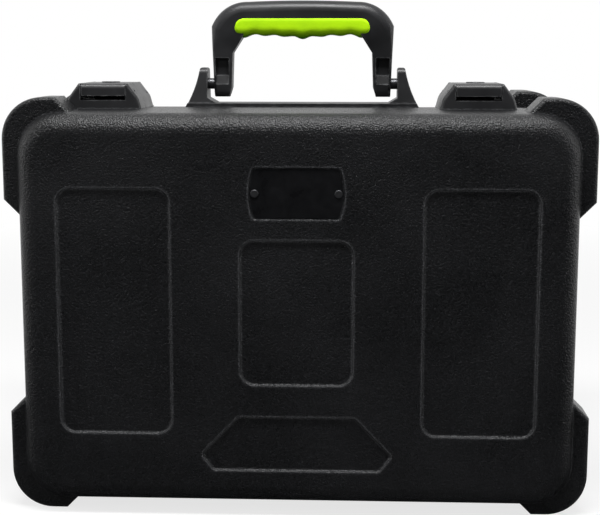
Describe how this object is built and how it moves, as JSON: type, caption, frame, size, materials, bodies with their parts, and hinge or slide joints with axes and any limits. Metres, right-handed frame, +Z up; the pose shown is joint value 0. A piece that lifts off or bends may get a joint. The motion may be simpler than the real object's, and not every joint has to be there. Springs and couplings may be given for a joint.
{
  "type": "microphone case",
  "caption": "Deep moulded case that stands on corner bumpers, with a foam drop block for microphones, a hinged lid, hooking latches with locks and a folding top handle.",
  "frame": {"origin": "on the floor, under the middle of the standing case's bounding box", "axes": "+Z up, +X along the width, -Y out of the lid's face"},
  "size_m": [0.512, 0.285, 0.4524],
  "materials": {
    "shell_plastic": "textured moulded polyethylene",
    "valance_aluminium": "dark anodised",
    "foam": "open-cell polyurethane foam",
    "handle_plastic": "satin moulded nylon",
    "grip_rubber": "soft lime-green overmould",
    "latch_plastic": "satin moulded nylon",
    "nameplate": "smooth dark plate",
    "steel": "blackened zinc plate"
  },
  "bodies": {
    "base": {"base_shell": "shell_plastic", "base_valance": "valance_aluminium", "foam_drop_block": "foam", "foam_floor_pad": "foam", "foam_well_surround": "foam", "handle_bracket": "handle_plastic", "handle_pins": "steel", "handle_backing_plate": "steel", "bracket_screws": "steel", "housing_screws": "steel", "base_hinge_rivets": "steel", "hinge_1_base_leaf": "steel", "hinge_2_base_leaf": "steel", "hinge_3_base_leaf": "steel", "hinge_1_pin": "steel", "hinge_2_pin": "steel", "hinge_3_pin": "steel", "left_latch_housing": "latch_plastic", "right_latch_housing": "latch_plastic", "left_latch_lever_pin": "steel", "right_latch_lever_pin": "steel"},
    "lid": {"lid_shell": "shell_plastic", "lid_valance": "valance_aluminium", "lid_foam": "foam", "nameplate": "nameplate", "nameplate_screws": "steel", "keeper_screws": "steel", "lid_hinge_rivets": "steel", "hinge_1_lid_leaf": "steel", "hinge_2_lid_leaf": "steel", "hinge_3_lid_leaf": "steel", "left_latch_keeper": "latch_plastic", "right_latch_keeper": "latch_plastic", "left_latch_keeper_pin": "steel", "right_latch_keeper_pin": "steel"},
    "handle": {"handle_frame": "handle_plastic", "handle_grip": "grip_rubber"},
    "left_lever": {"left_latch_lever": "latch_plastic"},
    "left_lock": {"left_latch_lock_cylinder": "steel", "left_latch_lock_cam": "steel"},
    "right_lever": {"right_latch_lever": "latch_plastic"},
    "right_lock": {"right_latch_lock_cylinder": "steel", "right_latch_lock_cam": "steel"}
  },
  "joints": [
    {"name": "lid_hinge", "type": "hinge", "parent": "base", "child": "lid", "pos_m": [0, -0.0505, 0.0073], "axis": [1, 0, 0], "range_deg": [0, 170]},
    {"name": "handle_swing", "type": "hinge", "parent": "base", "child": "handle", "pos_m": [0, -0.0185, 0.3766], "axis": [1, 0, 0], "range_deg": [-88, 88]},
    {"name": "left_latch_lift", "type": "hinge", "parent": "base", "child": "left_lever", "pos_m": [-0.176, -0.0135, 0.3681], "axis": [-1, 0, 0], "range_deg": [0, 100]},
    {"name": "left_lock_turn", "type": "hinge", "parent": "left_lever", "child": "left_lock", "pos_m": [-0.176, -0.0365, 0.3778], "axis": [0, 0, -1], "range_deg": [0, 90]},
    {"name": "right_latch_lift", "type": "hinge", "parent": "base", "child": "right_lever", "pos_m": [0.158, -0.0135, 0.3681], "axis": [-1, 0, 0], "range_deg": [0, 100]},
    {"name": "right_lock_turn", "type": "hinge", "parent": "right_lever", "child": "right_lock", "pos_m": [0.158, -0.0365, 0.3778], "axis": [0, 0, -1], "range_deg": [0, 90]}
  ]
}
